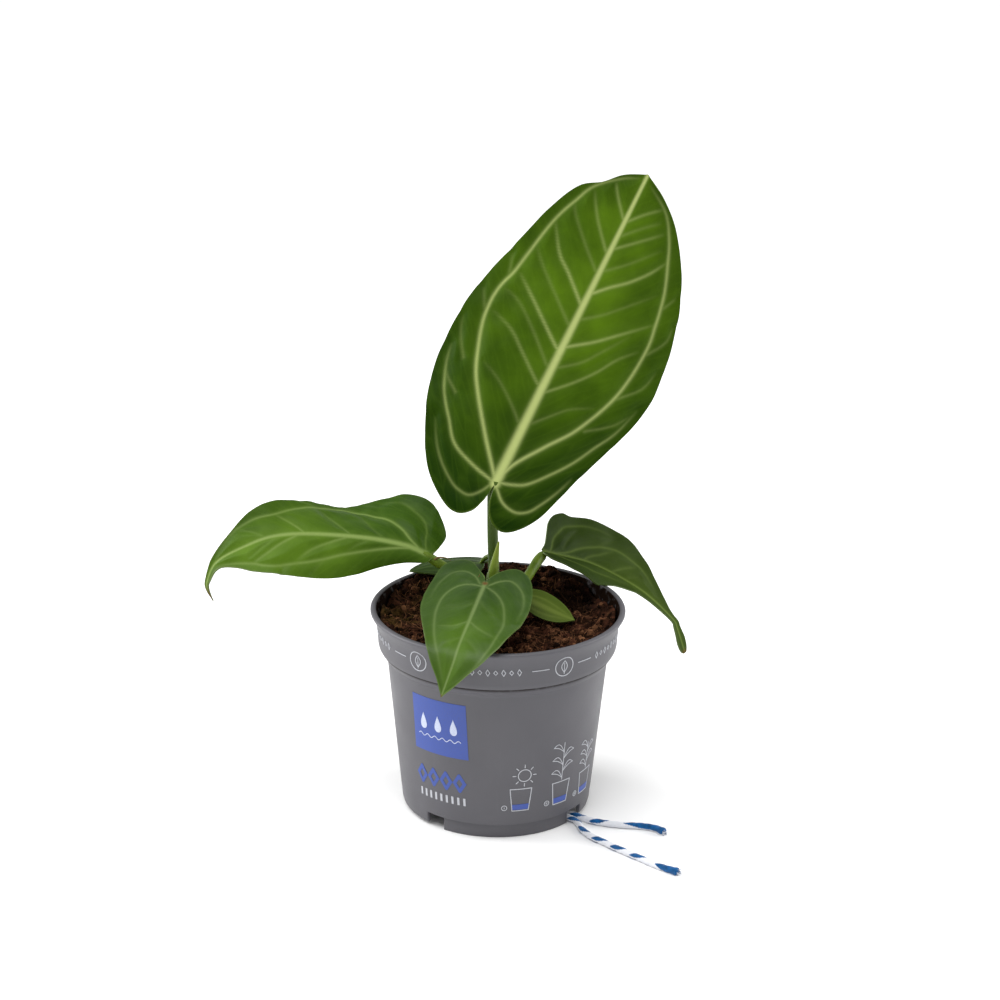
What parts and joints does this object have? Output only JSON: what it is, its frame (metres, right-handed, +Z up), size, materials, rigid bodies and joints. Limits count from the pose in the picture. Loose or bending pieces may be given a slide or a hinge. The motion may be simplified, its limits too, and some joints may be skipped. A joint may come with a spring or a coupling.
{
  "type": "potted anthurium",
  "caption": "Young velvet-leaved anthurium with pale-veined heart-shaped leaves in a round plastic nursery pot, with a twisted cotton watering wick.",
  "frame": {"origin": "on the surface that the pot stands on, under the middle of the plant's and pot's bounding box, measured without the wick's free ends", "axes": "+Z up, +X to the right and -Y towards the viewer of the picture"},
  "size_m": [0.2288, 0.1411, 0.297],
  "materials": {
    "pot": "satin",
    "soil": "matte",
    "leaf_dark": "satin",
    "leaf_light": "satin",
    "wick": "matte"
  },
  "bodies": {
    "root": {"pot": "pot", "soil": "soil", "leaf_upright": "leaf_dark", "leaf_left": "leaf_light", "leaf_right": "leaf_dark", "leaf_front": "leaf_dark", "leaf_back": "leaf_dark", "leaf_low": "leaf_light", "new_leaf": "leaf_light", "wick_end_front": "wick", "wick_end_back": "wick", "wick_loop": "wick"}
  },
  "joints": []
}
